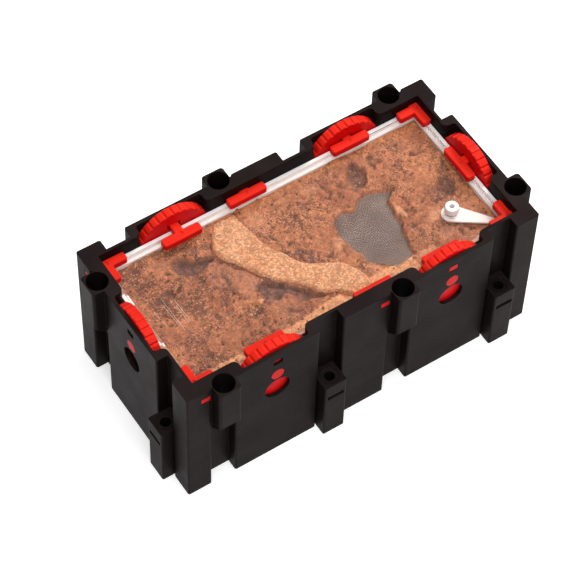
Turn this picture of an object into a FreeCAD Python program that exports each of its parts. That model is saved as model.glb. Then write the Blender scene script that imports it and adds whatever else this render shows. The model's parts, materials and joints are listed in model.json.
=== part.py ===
import FreeCAD, Part
import math
import os

# ---- module grid: a row of square units, origin at the middle of the base ----
UNIT = 100.0
UNITS_LONG = 2
HEIGHT = 83.6
LENGTH = UNITS_LONG * UNIT
WIDTH = UNIT

# ---- frame wall, measured inward from the outer faces ----
WALL = 7.8
COLUMN = 13.3
CHANNEL = 13.4
CHANNEL_DEPTH = 6.3
EDGE_RADIUS = 1.0
LIP_HEIGHT = 3.0
LIP_WIDTH = 4.0

# ---- joining lugs ----
LUG_OFFSET = 20.0
LUG_WIDTH = 12.2
LUG_REACH = 6.1
LUG_EDGE_RADIUS = 0.8
UPPER_LUG_SHIFT = 0.3
UPPER_LUG_EDGE_RADIUS = 1.6
UPPER_LUG_Z = 55.4
LOWER_LUG_TOP = 40.4
SOCKET_RADIUS = 5.5
SOCKET_FLOOR_Z = 58.0
SCREW_HOLE_RADIUS = 2.7
SCREW_HOLE_FLOOR_Z = 18.0
SCREW_RING_RADIUS = 4.6
SCREW_RING_DEPTH = 0.5
NUT_SLOT_WIDTH = 9.4
NUT_SLOT_HEIGHT = 2.8
NUT_SLOT_Z = 29.3

# ---- port dials ----
DIAL_WALL = 2.0
DIAL_AXLE_Z = 66.4
DIAL_RADIUS = 20.0
DIAL_THICKNESS = 5.1
DIAL_CHAMFER = 0.4
DIAL_SIDE_GAP = 0.3
DIAL_RIM_GAP = 0.5
AXLE_RADIUS = 3.43
AXLE_GAP = 0.07
HUB_RADIUS = 5.0
HUB_HEIGHT = 0.4
PORT_RADIUS = 6.85
PORT_DROP = 11.3
DIAL_HOLE_GAP = 0.15
DIAL_SLOT_PLAY = 1.25
DIAL_SLOT_LIFT = 0.5
DIAL_OPEN_TURN = 90.0
BOX_HOLE_GAP = 0.25
TUNNEL_GAP = 0.35
GRIP_COUNT = 30
GRIP_RADIUS = 0.9
GRIP_OFFSET = 0.25
POCKET_HALF_WIDTH = 18.4
POCKET_LIP_RADIUS = 3.0
POCKET_CORNER_RADIUS = 1.5

# ---- inner box and lid ----
BOX_GAP = 0.3
BOX_WALL = 3.8
BOX_FLOOR = 3.0
RIM_TOP = 75.0
RIM_WIDTH = 1.8
LID_THICKNESS = 3.0
LID_GAP = 0.15

# ---- clips that hold the lid ----
CLIP_GAP = 0.05
CLIP_HEIGHT = 3.4
CLIP_WIDTH = 4.9
CLIP_SETBACK = 8.0
CLIP_TIP = 0.2
BAR_LENGTH = 21.4
CORNER_ARM = 13.0
CLIP_END_RADIUS = 1.2
CLIP_CHAMFER = 0.35
DIMPLE_RADIUS = 1.1
DIMPLE_DEPTH = 0.4
DIMPLE_SETBACK = 1.8
WINDOW_GAP = 0.1
WINDOW_LIFT = 0.15
WINDOW_RADIUS = 0.3

# ---- ground inside the box ----
SOIL_GAP = 0.2
SOIL_TOP = 69.0
BANK_HEIGHT = 1.6
BANK_WIDTH = 4.0
BANK_CREST = 0.8
PATH_FLOOR = 67.0
PATH_TOP = 70.2
MESH_X = 37.0
MESH_Y = -9.5
MESH_LONG = 44.0
MESH_WIDE = 48.0
MESH_THICKNESS = 0.6
MESH_FLOOR = 66.0
TUNNEL_LENGTHS = {
    "front_left": 38.0, "front_right": 50.0, "right": 50.0, "back_right": 23.0, "back_left": 25.0, "left": 27.0,
}
SHAFT_SETBACKS = {"front_left": 38.0, "right": 24.0, "back_right": 23.0, "back_left": 25.0, "left": 27.0}
PATH_OUTLINE = (
    (-31.0, 36.5), (-18.0, 36.5), (-20.6, 31.5), (-19.0, 24.5), (-16.9, 15.9), (-14.0, 7.2), (-8.4, -0.9),
    (0.4, -9.3), (10.0, -14.7), (16.1, -23.9), (16.9, -30.5), (15.5, -36.0), (3.5, -35.0), (-5.0, -25.7),
    (-10.7, -19.5), (-19.0, -10.3), (-27.5, -1.6), (-33.3, 8.7), (-37.2, 16.5), (-38.3, 23.1), (-37.8, 28.0),
    (-35.4, 33.0),
)
# where the soil leaves the mesh sheet bare
MESH_PATCH = (
    (54.4, 8.4), (45.4, 12.0), (35.3, 12.1), (31.7, 7.5), (22.3, 8.6), (19.0, 5.3), (17.5, -1.9), (18.4, -10.6),
    (21.2, -16.4), (20.3, -22.5), (28.1, -27.5), (31.8, -31.8), (39.0, -30.3), (42.5, -24.5), (44.9, -11.1),
    (47.7, -0.5),
)
# ridges on the soil's level: both ends in plan, half width, height
RIDGES = (
    (-60.0, 32.6, -44.0, 31.5, 3.8, 1.7),
    (-43.0, 12.5, -36.0, -3.0, 6.0, 1.3),
    (-4.0, 33.0, 60.0, 33.0, 5.0, 1.3),
    (4.0, 22.0, 16.0, 19.5, 5.0, 1.0),
    (70.0, 16.0, 72.0, 23.0, 8.0, 1.1),
    (54.0, -26.0, 62.0, -26.0, 6.0, 0.9),
    (-74.0, -24.0, -73.5, -16.5, 6.0, 0.9),
    (-34.0, -25.0, -24.0, -29.5, 5.0, 0.9),
)
# troughs below the soil's level: both ends in plan, half width, depth
TROUGHS = (
    (-60.0, 24.8, -51.0, 23.8, 5.0, 3.6),
    (-51.0, 23.8, -40.5, 22.4, 2.6, 2.4),
    (-72.6, 12.6, -72.2, 10.9, 2.9, 2.4),
    (-28.6, -5.7, -11.6, -23.9, 4.5, 3.3),
    (-31.5, -13.5, -28.5, -16.0, 4.2, 1.8),
    (45.8, 28.5, 46.2, 25.5, 4.5, 3.6),
    (79.0, -7.0, 80.0, -4.5, 3.2, 2.8),
    (-4.0, 4.0, 0.5, -2.5, 3.0, 1.8),
    (-60.0, -27.0, -47.0, -22.5, 3.4, 1.5),
)

# ---- watering tube and its channel ----
TUBE_X = 69.9
TUBE_Y = -20.0
TUBE_RADIUS = 3.45
TUBE_BORE_RADIUS = 1.3
TUBE_TOP = 78.1
TUBE_FIT = 0.05
LID_HOLE_GAP = 0.4
CHANNEL_TOP_GAP = 0.1
CHANNEL_THICKNESS = 1.0
CHANNEL_HEAD_RADIUS = 5.0
CHANNEL_TAIL_RADIUS = 1.6
TAIL_X = 84.6
TAIL_Y = -34.4
LEG_RADIUS = 1.6
LEG_GAP = 0.5

# ---- derived sizes ----
LEDGE_Z = RIM_TOP - LID_THICKNESS
FLOOR_Z = LIP_HEIGHT + BOX_FLOOR
BOX_SETBACK = WALL + BOX_GAP
INSIDE_SETBACK = BOX_SETBACK + BOX_WALL
LID_SETBACK = BOX_SETBACK + RIM_WIDTH
DIAL_FACE = DIAL_WALL + DIAL_SIDE_GAP
PORT_Z = DIAL_AXLE_Z - PORT_DROP
POCKET_RADIUS = DIAL_RADIUS + DIAL_RIM_GAP
CLIP_Z = RIM_TOP + CLIP_GAP
CLIP_CENTRE = CLIP_SETBACK + CLIP_WIDTH / 2
WINDOW_WIDTH = CLIP_WIDTH + 2 * WINDOW_GAP
WINDOW_HEIGHT = CLIP_HEIGHT + 2 * WINDOW_LIFT
WINDOW_Z = CLIP_Z - WINDOW_LIFT
SOIL_SETBACK = INSIDE_SETBACK + SOIL_GAP
DIAL_CENTRE = UNIT / 2
CHANNEL_NEAR = COLUMN
CHANNEL_FAR = UNIT - COLUMN - CHANNEL
DIAL_SLOT_HALF = CLIP_WIDTH / 2 + DIAL_SLOT_PLAY
SLACK = 1.0

# side name, quarter turns about Z, length of the side, distance of its face from the middle
SIDES = {
    "front": (0, LENGTH, WIDTH / 2),
    "right": (1, WIDTH, LENGTH / 2),
    "back": (2, LENGTH, WIDTH / 2),
    "left": (3, WIDTH, LENGTH / 2),
}

# how far each clip is drawn inward from its fully pushed home
DIAL_CLIP_DRAW = {"front_left": 1.2, "front_right": 0.0, "right": 1.0, "back_right": 0.0, "back_left": 4.2}

# each dial: side, start of its unit along that side, whether it is turned to open its port
DIALS = {
    "front_left": ("front", 0.0, False),
    "front_right": ("front", UNIT, False),
    "right": ("right", 0.0, False),
    "back_right": ("back", 0.0, False),
    "back_left": ("back", UNIT, False),
    "left": ("left", 0.0, True),
}
CORNER_SIDES = {"front_left": "front", "front_right": "right", "back_right": "back", "back_left": "left"}


def vec(x, y, z):
    return FreeCAD.Vector(x, y, z)


def block(x0, x1, y0, y1, z0, z1):
    return Part.makeBox(x1 - x0, y1 - y0, z1 - z0, vec(x0, y0, z0))


def rod_z(x, y, z0, z1, radius):
    return Part.makeCylinder(radius, z1 - z0, vec(x, y, z0), vec(0, 0, 1))


def rod_y(x, z, y0, y1, radius):
    return Part.makeCylinder(radius, y1 - y0, vec(x, y0, z), vec(0, 1, 0))


def to_side(shape, side):
    # local frame: x runs along the side from its left end seen from outside, y runs inward from its face
    turns, length, reach = SIDES[side]
    placed = shape.copy()
    placed.translate(vec(-length / 2, -reach, 0))
    placed.rotate(vec(0, 0, 0), vec(0, 0, 1), 90.0 * turns)
    return placed


def fuse_all(shapes):
    result = shapes[0]
    for shape in shapes[1:]:
        result = result.fuse(shape)
    return result.removeSplitter()


def upright_edges(shape, spots):
    found = []
    for edge in shape.Edges:
        ends = [v.Point for v in edge.Vertexes]
        if len(ends) != 2 or abs(ends[0].x - ends[1].x) > 1e-6 or abs(ends[0].y - ends[1].y) > 1e-6:
            continue
        if any(abs(ends[0].x - x) < 1e-6 and abs(ends[0].y - y) < 1e-6 for x, y in spots):
            found.append(edge)
    return found


def rounded_block(x0, x1, y0, y1, z0, z1, radius, spots):
    body = block(x0, x1, y0, y1, z0, z1)
    return body.makeFillet(radius, upright_edges(body, spots))


# ---- frame, one side unit at a time in the local frame ----
def panel_block(x0, x1):
    spots = [(x0, 0.0), (x1, 0.0)]
    return rounded_block(x0, x1, 0.0, WALL, 0.0, HEIGHT, EDGE_RADIUS, spots)


def sloped_block(x0, x1, y0):
    # from y0 to the inside of the wall, with the upper lug's underside, which slopes at 45 degrees
    drop = UPPER_LUG_Z - LUG_REACH
    profile = [vec(x0, y0, drop - y0), vec(x0, y0, HEIGHT), vec(x0, WALL, HEIGHT), vec(x0, WALL, drop - WALL)]
    face = Part.Face(Part.makePolygon(profile + profile[:1]))
    return face.extrude(vec(x1 - x0, 0, 0))


def upper_lug(x):
    x0 = x + UPPER_LUG_SHIFT - LUG_WIDTH / 2
    x1 = x0 + LUG_WIDTH
    body = sloped_block(x0, x1, -LUG_REACH)
    body = body.makeFillet(UPPER_LUG_EDGE_RADIUS, upright_edges(body, [(x0, -LUG_REACH), (x1, -LUG_REACH)]))
    column_side = sloped_block(x - CHANNEL / 2, x, EDGE_RADIUS)
    panel_side = sloped_block(x, x + CHANNEL / 2 + EDGE_RADIUS, 0.0)
    return body.fuse([column_side, panel_side])


def lower_lug(x):
    spots = [(x - LUG_WIDTH / 2, -LUG_REACH), (x + LUG_WIDTH / 2, -LUG_REACH)]
    x0 = x - LUG_WIDTH / 2
    return rounded_block(x0, x0 + LUG_WIDTH, -LUG_REACH, WALL, 0.0, LOWER_LUG_TOP, LUG_EDGE_RADIUS, spots)


def unit_solids(start):
    return [
        panel_block(start + CHANNEL_NEAR + CHANNEL, start + CHANNEL_FAR),
        upper_lug(start + LUG_OFFSET),
        lower_lug(start + UNIT - LUG_OFFSET),
    ]


def window_cutter(x, depth):
    x0 = x - WINDOW_WIDTH / 2
    body = block(x0, x0 + WINDOW_WIDTH, -SLACK, depth + SLACK, WINDOW_Z, WINDOW_Z + WINDOW_HEIGHT)
    along = [e for e in body.Edges if abs(e.Vertexes[0].Point.y - e.Vertexes[1].Point.y) > depth]
    return body.makeFillet(WINDOW_RADIUS, along)


def pocket_lip_cutter(edge, outward):
    # rounds the inner corner of the pocket's end wall, in plan
    centre = edge + outward * POCKET_LIP_RADIUS
    low = min(edge, centre)
    high = max(edge, centre)
    z0 = RIM_TOP
    corner = block(low, high, WALL - POCKET_LIP_RADIUS, WALL + SLACK, z0, HEIGHT + SLACK)
    return corner.cut(rod_z(centre, WALL - POCKET_LIP_RADIUS, z0 - SLACK, HEIGHT + 2 * SLACK, POCKET_LIP_RADIUS))


def pocket_cutters(x):
    left = x - POCKET_HALF_WIDTH
    right = x + POCKET_HALF_WIDTH
    disc = rod_y(x, DIAL_AXLE_Z, DIAL_WALL, WALL + SLACK, POCKET_RADIUS)
    below_rim = block(left, right, DIAL_WALL, WALL + SLACK, DIAL_AXLE_Z, RIM_TOP)
    spots = [(left, DIAL_WALL), (right, DIAL_WALL)]
    above_rim = rounded_block(
        left, right, DIAL_WALL, WALL + SLACK, RIM_TOP, HEIGHT + SLACK, POCKET_CORNER_RADIUS, spots)
    return [
        disc.fuse([below_rim, above_rim]),
        pocket_lip_cutter(left, -1),
        pocket_lip_cutter(right, 1),
    ]


def screw_cutters(start):
    upper = start + LUG_OFFSET
    lower = start + UNIT - LUG_OFFSET
    slot_x = lower - NUT_SLOT_WIDTH / 2
    slot_end = NUT_SLOT_WIDTH / 2
    slot_top = NUT_SLOT_Z + NUT_SLOT_HEIGHT
    return [
        rod_z(upper, 0.0, SOCKET_FLOOR_Z, HEIGHT + SLACK, SOCKET_RADIUS),
        rod_z(upper, 0.0, LOWER_LUG_TOP, SOCKET_FLOOR_Z, SCREW_HOLE_RADIUS),
        rod_z(lower, 0.0, SCREW_HOLE_FLOOR_Z, LOWER_LUG_TOP + SLACK, SCREW_HOLE_RADIUS),
        rod_z(lower, 0.0, LOWER_LUG_TOP - SCREW_RING_DEPTH, LOWER_LUG_TOP + SLACK, SCREW_RING_RADIUS),
        block(slot_x, slot_x + NUT_SLOT_WIDTH, -LUG_REACH - SLACK, slot_end, NUT_SLOT_Z, slot_top),
    ]


def dial_cutters(x):
    return pocket_cutters(x) + [
        window_cutter(x, DIAL_WALL),
        rod_y(x, DIAL_AXLE_Z, -SLACK, DIAL_WALL + SLACK, AXLE_RADIUS + AXLE_GAP),
        rod_y(x, PORT_Z, -SLACK, DIAL_WALL + SLACK, PORT_RADIUS),
    ]


def unit_cutters(start):
    return screw_cutters(start) + dial_cutters(start + DIAL_CENTRE) + [
        window_cutter(start + CLIP_CENTRE, WALL),
    ]


def corner_column():
    # square post at the left end of a side; the cavity cut leaves its L shape
    post = block(0.0, COLUMN, 0.0, COLUMN, 0.0, HEIGHT)
    outer = upright_edges(post, [(0.0, 0.0), (COLUMN, 0.0), (0.0, COLUMN)])
    return post.makeFillet(EDGE_RADIUS, outer)


def make_frame():
    depth = CHANNEL_DEPTH
    half_x = LENGTH / 2
    half_y = WIDTH / 2
    solids = [block(depth - half_x, half_x - depth, depth - half_y, half_y - depth, 0.0, HEIGHT)]
    cutters = []
    for side, (turns, length, reach) in SIDES.items():
        starts = [UNIT * i for i in range(int(length / UNIT))]
        local = [corner_column()]
        for start in starts:
            local += unit_solids(start)
            cutters += [to_side(tool, side) for tool in unit_cutters(start)]
        for start in starts[1:]:
            local.append(panel_block(start - COLUMN, start + COLUMN))
        solids += [to_side(solid, side) for solid in local]
    cavity = block(WALL - half_x, half_x - WALL, WALL - half_y, half_y - WALL, LIP_HEIGHT, HEIGHT + SLACK)
    edge = WALL + LIP_WIDTH
    opening = block(edge - half_x, half_x - edge, edge - half_y, half_y - edge, -SLACK, LIP_HEIGHT + SLACK)
    body = fuse_all(solids)
    return body.cut([cavity, opening] + cutters).removeSplitter()


# ---- inner box and lid ----
def inset_block(setback, z0, z1):
    return block(setback - LENGTH / 2, LENGTH / 2 - setback, setback - WIDTH / 2, WIDTH / 2 - setback, z0, z1)


def make_box():
    body = inset_block(BOX_SETBACK, LIP_HEIGHT, RIM_TOP)
    cutters = [
        inset_block(INSIDE_SETBACK, FLOOR_Z, RIM_TOP + SLACK),
        inset_block(LID_SETBACK, LEDGE_Z, RIM_TOP + SLACK),
    ]
    for side, start, is_open in DIALS.values():
        x = start + DIAL_CENTRE
        hole = rod_y(x, PORT_Z, BOX_SETBACK - SLACK, INSIDE_SETBACK + SLACK, PORT_RADIUS + BOX_HOLE_GAP)
        cutters.append(to_side(hole, side))
    return body.cut(cutters)


def make_lid():
    body = inset_block(LID_SETBACK + LID_GAP, LEDGE_Z, RIM_TOP)
    hole = rod_z(TUBE_X, TUBE_Y, LEDGE_Z - SLACK, RIM_TOP + SLACK, TUBE_RADIUS + LID_HOLE_GAP)
    return body.cut(hole)


# ---- ground ----
def prism(outline, z0, z1):
    points = [vec(x, y, z0) for x, y in outline]
    face = Part.Face(Part.makePolygon(points + points[:1]))
    return face.extrude(vec(0, 0, z1 - z0))


def mesh_block(z0, z1):
    x0 = MESH_X - MESH_LONG / 2
    y0 = MESH_Y - MESH_WIDE / 2
    return block(x0, x0 + MESH_LONG, y0, y0 + MESH_WIDE, z0, z1)


def tunnel(name, length):
    # level bore inward from one port
    side, start, is_open = DIALS[name]
    return to_side(rod_y(start + DIAL_CENTRE, PORT_Z, 0.0, length, PORT_RADIUS + TUNNEL_GAP), side)


def shaft(name, setback):
    # upright bore from a tunnel to the surface
    side, start, is_open = DIALS[name]
    return to_side(rod_z(start + DIAL_CENTRE, setback, PORT_Z, LEDGE_Z, PORT_RADIUS), side)


def bank_slopes(half_length, half_width):
    # room between two facing banks, whose slopes part towards the top
    foot = half_length - SOIL_SETBACK - BANK_WIDTH
    crest = half_length - SOIL_SETBACK - BANK_CREST
    top = SOIL_TOP + BANK_HEIGHT
    profile = [vec(-foot, 0, SOIL_TOP), vec(foot, 0, SOIL_TOP), vec(crest, 0, top), vec(-crest, 0, top)]
    face = Part.Face(Part.makePolygon(profile + profile[:1]))
    face.translate(vec(0, -half_width, 0))
    return face.extrude(vec(0, 2 * half_width, 0))


def long_mound(x0, y0, x1, y1, half_width, height):
    # round-ended ridge that rises from the soil's level, or a trough below it when the height is negative
    radius = (half_width ** 2 + height ** 2) / (2 * abs(height))
    z = SOIL_TOP + height - math.copysign(radius, height)
    reach = math.hypot(x1 - x0, y1 - y0)
    back = Part.makeCylinder(radius, reach, vec(x0, y0, z), vec(x1 - x0, y1 - y0, 0))
    return fuse_all([back, Part.makeSphere(radius, vec(x0, y0, z)), Part.makeSphere(radius, vec(x1, y1, z))])


def banked_ground():
    # solid ground whose top rises in a bank along all four walls
    across = bank_slopes(WIDTH / 2, LENGTH / 2)
    across.rotate(vec(0, 0, 0), vec(0, 0, 1), 90.0)
    hollow = bank_slopes(LENGTH / 2, WIDTH / 2).common(across)
    body = inset_block(SOIL_SETBACK, FLOOR_Z, SOIL_TOP + BANK_HEIGHT).cut(hollow)
    layer = inset_block(SOIL_SETBACK, SOIL_TOP - SLACK, LEDGE_Z)
    return fuse_all([body] + [long_mound(*ridge).common(layer) for ridge in RIDGES])


def make_soil():
    cutters = [tunnel(name, length) for name, length in TUNNEL_LENGTHS.items()]
    cutters += [shaft(name, setback) for name, setback in SHAFT_SETBACKS.items()]
    cutters += [long_mound(x0, y0, x1, y1, half, -depth) for x0, y0, x1, y1, half, depth in TROUGHS]
    cutters.append(rod_z(TAIL_X, TAIL_Y, FLOOR_Z - SLACK, LEDGE_Z, LEG_RADIUS + LEG_GAP))
    cutters.append(prism(PATH_OUTLINE, PATH_FLOOR, LEDGE_Z))
    cutters.append(prism(MESH_PATCH, MESH_FLOOR, LEDGE_Z))
    cutters.append(make_mesh())
    return banked_ground().cut(cutters)


def make_path():
    return prism(PATH_OUTLINE, PATH_FLOOR, PATH_TOP)


def make_mesh():
    return mesh_block(MESH_FLOOR, MESH_FLOOR + MESH_THICKNESS)


# ---- watering tube and channel ----
def make_tube():
    top = LEDGE_Z - CHANNEL_TOP_GAP
    tube = rod_z(TUBE_X, TUBE_Y, top - CHANNEL_THICKNESS, TUBE_TOP, TUBE_RADIUS)
    tube = tube.makeChamfer(0.3, [e for e in tube.Edges if abs(e.BoundBox.ZMin - TUBE_TOP) < 1e-6])
    return tube.cut(rod_z(TUBE_X, TUBE_Y, top - CHANNEL_THICKNESS - SLACK, TUBE_TOP + SLACK, TUBE_BORE_RADIUS))


def tangent_points(r0, r1):
    # outer tangent of the head and tail circles, on both sides of their centre line
    dx = TAIL_X - TUBE_X
    dy = TAIL_Y - TUBE_Y
    reach = math.hypot(dx, dy)
    heading = math.atan2(dy, dx)
    spread = math.acos((r0 - r1) / reach)
    points = []
    for x, y, radius, sign in ((TUBE_X, TUBE_Y, r0, 1), (TAIL_X, TAIL_Y, r1, 1), (TAIL_X, TAIL_Y, r1, -1),
                               (TUBE_X, TUBE_Y, r0, -1)):
        angle = heading + sign * spread
        points.append((x + radius * math.cos(angle), y + radius * math.sin(angle)))
    return points


def make_channel():
    z1 = LEDGE_Z - CHANNEL_TOP_GAP
    z0 = z1 - CHANNEL_THICKNESS
    web = prism(tangent_points(CHANNEL_HEAD_RADIUS, CHANNEL_TAIL_RADIUS), z0, z1)
    head = rod_z(TUBE_X, TUBE_Y, z0, z1, CHANNEL_HEAD_RADIUS)
    tail = rod_z(TAIL_X, TAIL_Y, z0, z1, CHANNEL_TAIL_RADIUS)
    leg = rod_z(TAIL_X, TAIL_Y, FLOOR_Z, z1, LEG_RADIUS)
    body = fuse_all([web, head, tail, leg])
    return body.cut(rod_z(TUBE_X, TUBE_Y, z0 - SLACK, z1 + SLACK, TUBE_RADIUS + TUBE_FIT))


# ---- dials ----
def make_dial(name):
    side, start, is_open = DIALS[name]
    x = start + DIAL_CENTRE
    back = DIAL_FACE + DIAL_THICKNESS
    disc = rod_y(x, DIAL_AXLE_Z, DIAL_FACE, back, DIAL_RADIUS)
    disc = disc.makeChamfer(DIAL_CHAMFER, [e for e in disc.Edges if abs(e.BoundBox.YLength) < 1e-6])
    hub = rod_y(x, DIAL_AXLE_Z, back, back + HUB_HEIGHT, HUB_RADIUS)
    axle = rod_y(x, DIAL_AXLE_Z, 0.0, DIAL_FACE, AXLE_RADIUS)
    slot_z0 = CLIP_Z - DIAL_SLOT_LIFT
    slot_z1 = CLIP_Z + CLIP_HEIGHT + DIAL_SLOT_LIFT
    front = DIAL_FACE - SLACK
    cutters = [
        rod_y(x + PORT_DROP, DIAL_AXLE_Z, front, back + SLACK, PORT_RADIUS + DIAL_HOLE_GAP),
        block(x - DIAL_SLOT_HALF, x + DIAL_SLOT_HALF, front, back + SLACK, slot_z0, slot_z1),
    ]
    reach = DIAL_RADIUS + GRIP_OFFSET
    for i in range(GRIP_COUNT):
        angle = 2 * math.pi * (i + 0.5) / GRIP_COUNT
        gx = x + reach * math.cos(angle)
        gz = DIAL_AXLE_Z + reach * math.sin(angle)
        cutters.append(rod_y(gx, gz, front, back + SLACK, GRIP_RADIUS))
    dial = fuse_all([disc, hub, axle]).cut(cutters)
    if is_open:
        dial.rotate(vec(x, 0, DIAL_AXLE_Z), vec(0, 1, 0), DIAL_OPEN_TURN)
    return to_side(dial, side)


# ---- clips ----
def finish_clip(body, x, y, ends):
    body = body.makeFillet(CLIP_END_RADIUS, upright_edges(body, ends))
    top = CLIP_Z + CLIP_HEIGHT
    rim = [e for e in body.Edges if abs(e.BoundBox.ZMin - top) < 1e-6]
    body = body.makeChamfer(CLIP_CHAMFER, rim)
    return body.cut(rod_z(x, y, top - DIMPLE_DEPTH, top + SLACK, DIMPLE_RADIUS))


def clip_stem(x, draw):
    tip = CLIP_TIP + draw
    return block(x - CLIP_WIDTH / 2, x + CLIP_WIDTH / 2, tip, CLIP_SETBACK + draw, CLIP_Z, CLIP_Z + CLIP_HEIGHT)


def make_bar_clip(side, x, draw):
    y0 = CLIP_SETBACK + draw
    y1 = y0 + CLIP_WIDTH
    x0 = x - BAR_LENGTH / 2
    x1 = x + BAR_LENGTH / 2
    bar = block(x0, x1, y0, y1, CLIP_Z, CLIP_Z + CLIP_HEIGHT)
    body = fuse_all([bar, clip_stem(x, draw)])
    ends = [(x0, y0), (x0, y1), (x1, y0), (x1, y1)]
    return to_side(finish_clip(body, x, y0 + DIMPLE_SETBACK, ends), side)


def make_corner_clip(side):
    near = CLIP_SETBACK
    far = near + CORNER_ARM
    wide = near + CLIP_WIDTH
    top = CLIP_Z + CLIP_HEIGHT
    along = block(near, far, near, wide, CLIP_Z, top)
    inward = block(near, wide, near, far, CLIP_Z, top)
    body = fuse_all([along, inward, clip_stem(CLIP_CENTRE, 0.0)])
    ends = [(far, near), (far, wide), (near, far), (wide, far)]
    return to_side(finish_clip(body, CLIP_CENTRE, CLIP_CENTRE, ends), side)


def make_parts():
    parts = {
        "outer_frame": make_frame(),
        "inner_box": make_box(),
        "lid_panel": make_lid(),
        "soil_block": make_soil(),
        "sand_path": make_path(),
        "mesh_sheet": make_mesh(),
        "water_tube": make_tube(),
        "water_channel": make_channel(),
    }
    for name in DIALS:
        parts["dial_" + name] = make_dial(name)
    for name, draw in DIAL_CLIP_DRAW.items():
        side, start, is_open = DIALS[name]
        parts["dial_clip_" + name] = make_bar_clip(side, start + DIAL_CENTRE, draw)
    for side in ("front", "back"):
        parts["edge_clip_" + side] = make_bar_clip(side, UNIT + CLIP_CENTRE, 0.0)
    for name, side in CORNER_SIDES.items():
        parts["corner_clip_" + name] = make_corner_clip(side)
    return parts


os.makedirs("parts", exist_ok=True)
for node, shape in make_parts().items():
    solid = shape.Solids[0]
    if len(shape.Solids) != 1 or not solid.isValid():
        raise ValueError(node + " is not one valid solid")
    solid.exportStep("parts/" + node + ".step")
    print(node, round(solid.Volume / 1000, 2), "cm3", "z", round(solid.BoundBox.ZMin, 2), round(solid.BoundBox.ZMax, 2))
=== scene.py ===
import json
import math

import bmesh
import bpy
from mathutils import Matrix, Vector, noise

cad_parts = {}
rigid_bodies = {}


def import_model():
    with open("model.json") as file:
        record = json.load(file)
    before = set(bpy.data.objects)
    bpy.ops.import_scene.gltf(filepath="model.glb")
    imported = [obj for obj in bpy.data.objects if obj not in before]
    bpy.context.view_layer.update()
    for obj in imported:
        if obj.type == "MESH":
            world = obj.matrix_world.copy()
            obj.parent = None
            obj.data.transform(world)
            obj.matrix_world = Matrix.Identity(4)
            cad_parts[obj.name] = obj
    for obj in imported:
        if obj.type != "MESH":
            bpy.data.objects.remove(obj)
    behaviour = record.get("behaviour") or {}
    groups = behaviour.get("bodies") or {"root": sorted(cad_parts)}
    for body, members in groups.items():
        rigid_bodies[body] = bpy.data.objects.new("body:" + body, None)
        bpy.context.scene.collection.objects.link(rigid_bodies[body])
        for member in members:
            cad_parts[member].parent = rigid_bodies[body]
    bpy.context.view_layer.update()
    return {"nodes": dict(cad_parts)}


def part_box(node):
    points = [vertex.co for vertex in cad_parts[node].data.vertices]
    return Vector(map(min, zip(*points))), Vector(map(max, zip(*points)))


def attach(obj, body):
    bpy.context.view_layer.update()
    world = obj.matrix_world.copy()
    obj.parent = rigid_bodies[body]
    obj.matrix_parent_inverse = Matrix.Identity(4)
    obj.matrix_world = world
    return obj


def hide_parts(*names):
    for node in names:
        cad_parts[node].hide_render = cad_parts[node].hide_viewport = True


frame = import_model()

MM = 0.001
BODY = "habitat"
NODES = frame["nodes"]

# ---- camera, in millimetres and degrees round the point it looks at ----
CAMERA_TARGET = (0.0, 0.0, 40.0)
CAMERA_AZIMUTH = -34.565
CAMERA_ELEVATION = 55.328
CAMERA_ROLL = 1.882
CAMERA_DISTANCE = 1239.15
CAMERA_SLIDE = (-11.36, -4.931)
IMAGE_SIZE = 570.0
FOCAL_PIXELS = 2516.39
CENTRE_PIXEL = (283.95, 295.44)
SENSOR = 36.0

# ---- ground, in millimetres ----
SOIL_HALF_X = 87.85
SOIL_HALF_Y = 37.85
SOIL_STEP = 0.48
SOIL_BASE = 62.5
SOIL_LEVEL = 68.9
SOIL_CEILING = 71.75
MESH_BED = 65.3
PATH_BED = 66.8
WARP_REACH = 1.3
SWELL_HEIGHT = 0.6
HUMP_HEIGHT = 0.7
CLOD_HEIGHT = 0.12
ROUGH_CLOD_HEIGHT = 0.78
SHEET_HEIGHT = 0.9
BANK_HEIGHT = 1.7
BANK_WIDTH = 7.0
STRIP_END = 40.0
PATH_SINK = 0.5
PATH_SETBACK_DEPTH = 1.1
PATH_SETBACK_WIDTH = 7.0
PATH_SETBACK_END = 30.0
PATH_GRID = (56, 200)
PATH_UNDERSIDE = 0.8
PATH_RIM = 1.5
PATH_CROWN = 1.95

# clouds of noise in the ground: size in millimetres, seed and, where it isn't 3, the octaves
CLOUDS = {
    "warp_x": (7.0, 3.1), "warp_y": (7.0, 7.7), "rough": (18.0, 31.0), "clods": (3.2, 5.0, 4), "swell": (26.0, 1.0),
    "humps": (8.5, 2.0), "hollow_rim": (2.4, 16.0), "stain_and_shade": (4.0, 41.0), "bank": (12.0, 9.0),
    "mesh_rim": (2.2, 4.0), "mesh_frays": (1.0, 14.0, 2), "path_rim": (2.0, 11.0), "path_humps": (8.0, 12.0),
    "path_grit": (1.5, 13.0, 4), "crumbs": (14.0, 21.0),
}

# visible patch of steel mesh, uncovered by the soil
MESH_PATCH = (
    (55.8, 9.6), (51.8, 11.2), (47.9, 13.0), (42.5, 13.8), (37.9, 13.2), (35.5, 10.8), (33.0, 9.3), (29.2, 9.6),
    (24.6, 10.8), (20.9, 9.3), (19.2, 6.3), (18.4, 2.8), (18.9, -0.2), (18.2, -2.8), (19.3, -8.4), (18.8, -10.7),
    (21.4, -15.0), (21.5, -18.6), (21.8, -20.9), (25.4, -24.1), (29.3, -27.0), (32.7, -30.0), (35.3, -29.4),
    (39.8, -28.8), (42.3, -27.3), (43.2, -23.9), (44.4, -18.9), (46.0, -12.8), (48.0, -7.8), (47.8, -3.2),
    (49.0, 1.9), (50.4, 6.0), (53.6, 7.6),
)
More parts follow.
